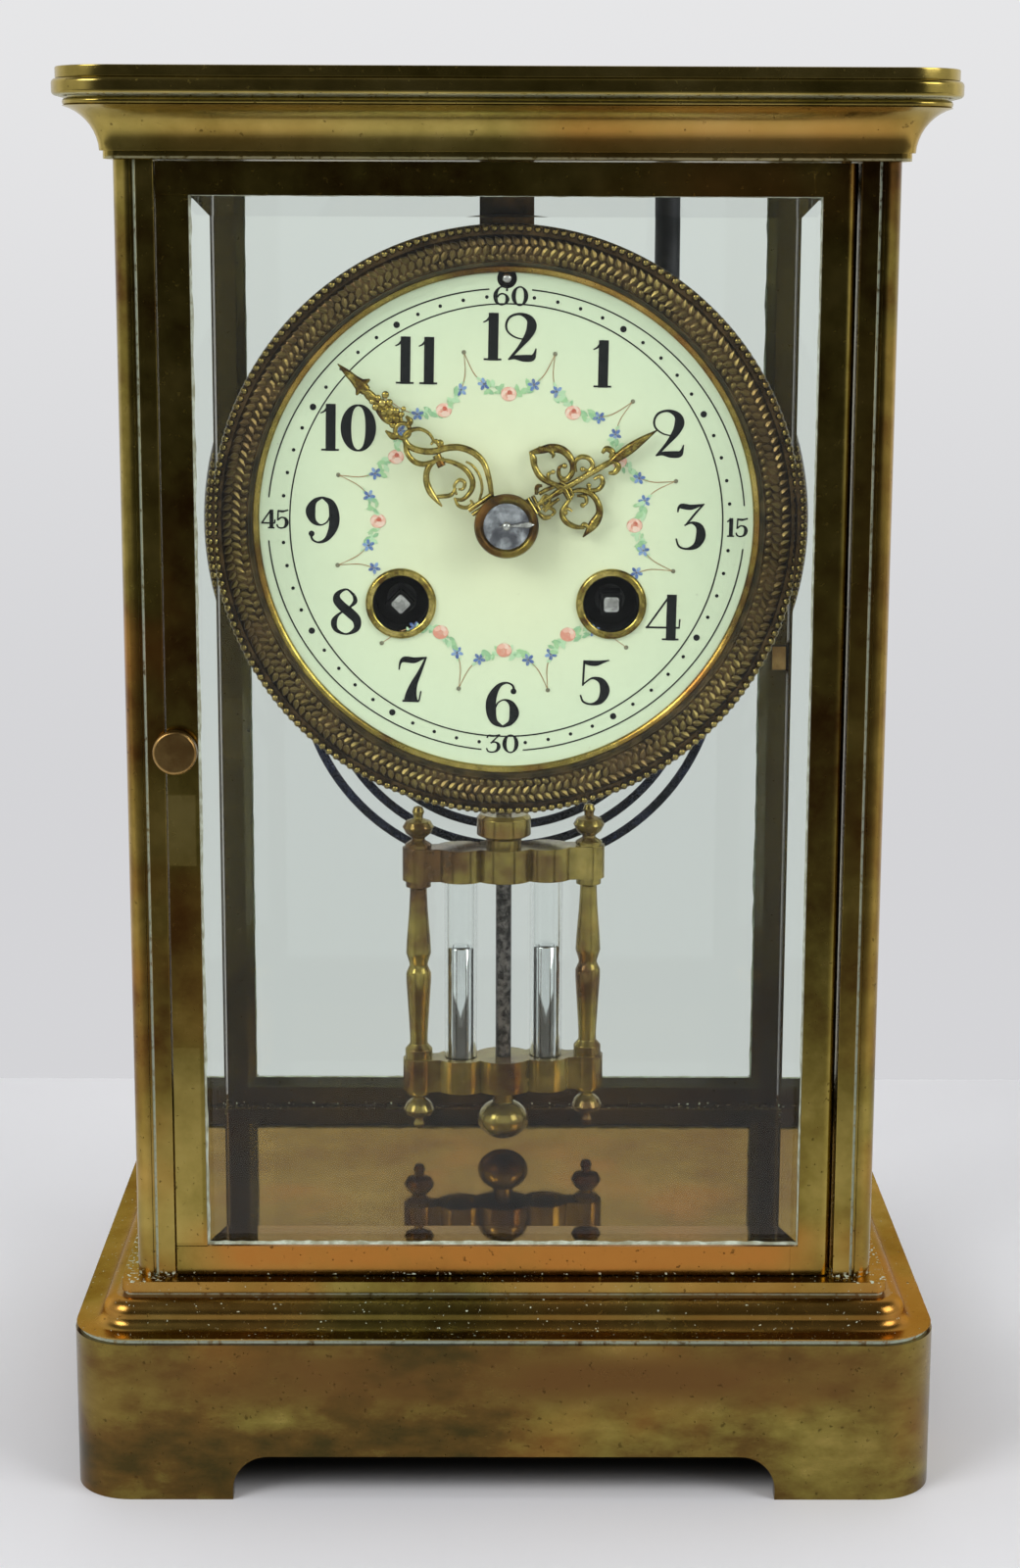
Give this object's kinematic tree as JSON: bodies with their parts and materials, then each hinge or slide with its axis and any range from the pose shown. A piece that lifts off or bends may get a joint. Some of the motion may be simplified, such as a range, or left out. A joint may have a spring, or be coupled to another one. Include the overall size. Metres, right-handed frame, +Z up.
{
  "type": "crystal regulator clock",
  "caption": "Four-glass brass mantel clock with hinged bevelled doors, enamel dial, geared hands, striking movement, spiral gong and a swinging twin-vial mercury pendulum.",
  "frame": {"origin": "middle of the plinth's footprint, on the surface that the clock stands on", "axes": "+X to the right of someone facing the dial, +Y from the dial to the back, +Z up"},
  "size_m": [0.161, 0.134, 0.26],
  "materials": {
    "case_brass": "aged, part polished",
    "door_brass": "aged, part polished",
    "floor_brass": "polished",
    "movement_brass": "satin",
    "wheel_brass": "satin",
    "bezel_brass": "stamped and lacquered",
    "gilt": "gilt",
    "knob_copper": "coppery, polished",
    "pane_glass": "clear, bevelled",
    "vial_glass": "clear",
    "mercury": "liquid mirror",
    "enamel": "gloss",
    "steel": "satin",
    "dark_iron": "blackened",
    "gong_steel": "blued",
    "pendulum_brass": "polished"
  },
  "bodies": {
    "case": {"plinth": "case_brass", "base_moulding": "case_brass", "base_floor": "floor_brass", "post_front_left": "case_brass", "post_front_right": "case_brass", "post_rear_left": "case_brass", "post_rear_right": "case_brass", "cornice": "case_brass", "cornice_lid": "case_brass", "side_glass_left": "pane_glass", "side_glass_right": "pane_glass", "case_bolts": "steel", "movement_hanger": "movement_brass", "front_plate": "movement_brass", "back_plate": "movement_brass", "plate_pillars": "movement_brass", "movement_screws": "steel", "dial_pan": "movement_brass", "dial": "enamel", "bezel": "bezel_brass", "winding_rings": "gilt", "suspension_cock": "movement_brass", "gong_post": "dark_iron", "gong_block": "dark_iron", "gong": "gong_steel", "winding_clicks": "steel"},
    "front_door": {"front_door_frame": "door_brass", "front_glass": "pane_glass", "front_hinge_pins": "knob_copper"},
    "front_latch": {"front_latch": "knob_copper"},
    "rear_door": {"rear_door_frame": "door_brass", "rear_glass": "pane_glass", "rear_hinge_pins": "knob_copper"},
    "rear_latch": {"rear_latch": "knob_copper"},
    "minute_work": {"minute_hand": "gilt", "hand_collet": "gilt", "cannon_pinion": "wheel_brass"},
    "hour_work": {"hour_hand": "gilt", "hour_wheel": "wheel_brass"},
    "motion_wheel": {"motion_wheel": "wheel_brass"},
    "centre_wheel": {"centre_wheel": "wheel_brass"},
    "second_wheel": {"second_wheel": "wheel_brass"},
    "third_wheel": {"third_wheel": "wheel_brass"},
    "escape_wheel": {"escape_wheel": "wheel_brass"},
    "going_barrel": {"going_barrel": "wheel_brass"},
    "going_arbor": {"going_arbor": "steel"},
    "strike_barrel": {"strike_barrel": "wheel_brass"},
    "strike_arbor": {"strike_arbor": "steel"},
    "strike_second_wheel": {"strike_second_wheel": "wheel_brass"},
    "pin_wheel": {"pin_wheel": "wheel_brass"},
    "warning_wheel": {"warning_wheel": "wheel_brass"},
    "fly": {"fly": "wheel_brass"},
    "hammer": {"hammer": "wheel_brass"},
    "anchor": {"anchor": "steel"},
    "pendulum": {"suspension_spring": "steel", "pendulum_rod": "steel"},
    "bob": {"bob_frame": "pendulum_brass", "mercury_vials": "vial_glass", "mercury": "mercury"},
    "rating_nut": {"rating_nut": "pendulum_brass"}
  },
  "joints": [
    {"name": "front_door_hinge", "type": "hinge", "parent": "case", "child": "front_door", "pos_m": [0.0592, -0.0529, 0.14], "axis": [0, 0, 1], "range_deg": [0, 95]},
    {"name": "front_latch_turn", "type": "hinge", "parent": "front_door", "child": "front_latch", "pos_m": [-0.05965, -0.054, 0.14], "axis": [0, -1, 0], "range_deg": [0, 90]},
    {"name": "rear_door_hinge", "type": "hinge", "parent": "case", "child": "rear_door", "pos_m": [-0.0592, 0.0529, 0.14], "axis": [0, 0, 1], "range_deg": [0, 95]},
    {"name": "rear_latch_turn", "type": "hinge", "parent": "rear_door", "child": "rear_latch", "pos_m": [0.05965, 0.054, 0.14], "axis": [0, 1, 0], "range_deg": [0, 90]},
    {"name": "minute_turn", "type": "hinge", "parent": "case", "child": "minute_work", "pos_m": [0, -0.044, 0.18], "axis": [0, 1, 0], "continuous": true},
    {"name": "hour_turn", "type": "hinge", "parent": "case", "child": "hour_work", "pos_m": [0, -0.042, 0.18], "axis": [0, 1, 0], "continuous": true},
    {"name": "motion_turn", "type": "hinge", "parent": "case", "child": "motion_wheel", "pos_m": [-0.0096, -0.034, 0.18], "axis": [0, 1, 0], "continuous": true},
    {"name": "third_turn", "type": "hinge", "parent": "case", "child": "third_wheel", "pos_m": [0.01172, -0.012, 0.1917], "axis": [0, 1, 0], "continuous": true},
    {"name": "centre_turn", "type": "hinge", "parent": "case", "child": "centre_wheel", "pos_m": [0, -0.012, 0.18], "axis": [0, 1, 0], "continuous": true},
    {"name": "escape_turn", "type": "hinge", "parent": "case", "child": "escape_wheel", "pos_m": [0, -0.012, 0.1995], "axis": [0, 1, 0], "continuous": true},
    {"name": "second_turn", "type": "hinge", "parent": "case", "child": "second_wheel", "pos_m": [-0.00072, -0.012, 0.16279], "axis": [0, 1, 0], "continuous": true},
    {"name": "going_barrel_turn", "type": "hinge", "parent": "case", "child": "going_barrel", "pos_m": [0.0193, -0.012, 0.1652], "axis": [0, 1, 0], "continuous": true},
    {"name": "going_winding", "type": "hinge", "parent": "case", "child": "going_arbor", "pos_m": [0.0193, -0.012, 0.1652], "axis": [0, 1, 0], "range_deg": [0, 2160]},
    {"name": "pin_wheel_turn", "type": "hinge", "parent": "case", "child": "pin_wheel", "pos_m": [-0.01752, -0.012, 0.19518], "axis": [0, 1, 0], "continuous": true},
    {"name": "strike_second_turn", "type": "hinge", "parent": "case", "child": "strike_second_wheel", "pos_m": [-0.02401, -0.012, 0.1848], "axis": [0, 1, 0], "continuous": true},
    {"name": "strike_barrel_turn", "type": "hinge", "parent": "case", "child": "strike_barrel", "pos_m": [-0.0193, -0.012, 0.1652], "axis": [0, 1, 0], "continuous": true},
    {"name": "warning_turn", "type": "hinge", "parent": "case", "child": "warning_wheel", "pos_m": [-0.01403, -0.012, 0.20477], "axis": [0, 1, 0], "continuous": true},
    {"name": "fly_turn", "type": "hinge", "parent": "case", "child": "fly", "pos_m": [-0.02245, -0.012, 0.20783], "axis": [0, 1, 0], "continuous": true},
    {"name": "strike_winding", "type": "hinge", "parent": "case", "child": "strike_arbor", "pos_m": [-0.0193, -0.012, 0.1652], "axis": [0, 1, 0], "range_deg": [0, 2160]},
    {"name": "hammer_lift", "type": "hinge", "parent": "case", "child": "hammer", "pos_m": [-0.037, 0.014, 0.182], "axis": [0, 1, 0], "range_deg": [0, 12]},
    {"name": "pendulum_swing", "type": "hinge", "parent": "case", "child": "pendulum", "pos_m": [0, 0.0235, 0.2155], "axis": [0, 1, 0], "range_deg": [-4, 4]},
    {"name": "anchor_rock", "type": "hinge", "parent": "case", "child": "anchor", "pos_m": [0, 0.01, 0.2155], "axis": [0, 1, 0], "range_deg": [-4, 4]},
    {"name": "bob_slide", "type": "slide", "parent": "pendulum", "child": "bob", "axis": [0, 0, 1], "range_m": [-0.001, 0.002]},
    {"name": "nut_turn", "type": "hinge", "parent": "bob", "child": "rating_nut", "pos_m": [0, 0.0235, 0.045], "axis": [0, 0, 1], "range_deg": [-720.1, 1440.1]}
  ],
  "couplings": [
    {"joint": "hour_turn", "follows": "minute_turn", "ratio": 0.083333},
    {"joint": "motion_turn", "follows": "minute_turn", "ratio": -0.33333},
    {"joint": "centre_turn", "follows": "third_turn", "ratio": -0.095238},
    {"joint": "escape_turn", "follows": "third_turn", "ratio": -10},
    {"joint": "second_turn", "follows": "third_turn", "ratio": 0.013228},
    {"joint": "going_barrel_turn", "follows": "third_turn", "ratio": -0.0018896},
    {"joint": "strike_second_turn", "follows": "pin_wheel_turn", "ratio": -0.13333},
    {"joint": "strike_barrel_turn", "follows": "pin_wheel_turn", "ratio": 0.019048},
    {"joint": "warning_turn", "follows": "pin_wheel_turn", "ratio": -7.5},
    {"joint": "fly_turn", "follows": "pin_wheel_turn", "ratio": 52.5},
    {"joint": "anchor_rock", "follows": "pendulum_swing", "ratio": 1},
    {"joint": "nut_turn", "follows": "bob_slide", "rad_per_m": 12566}
  ]
}
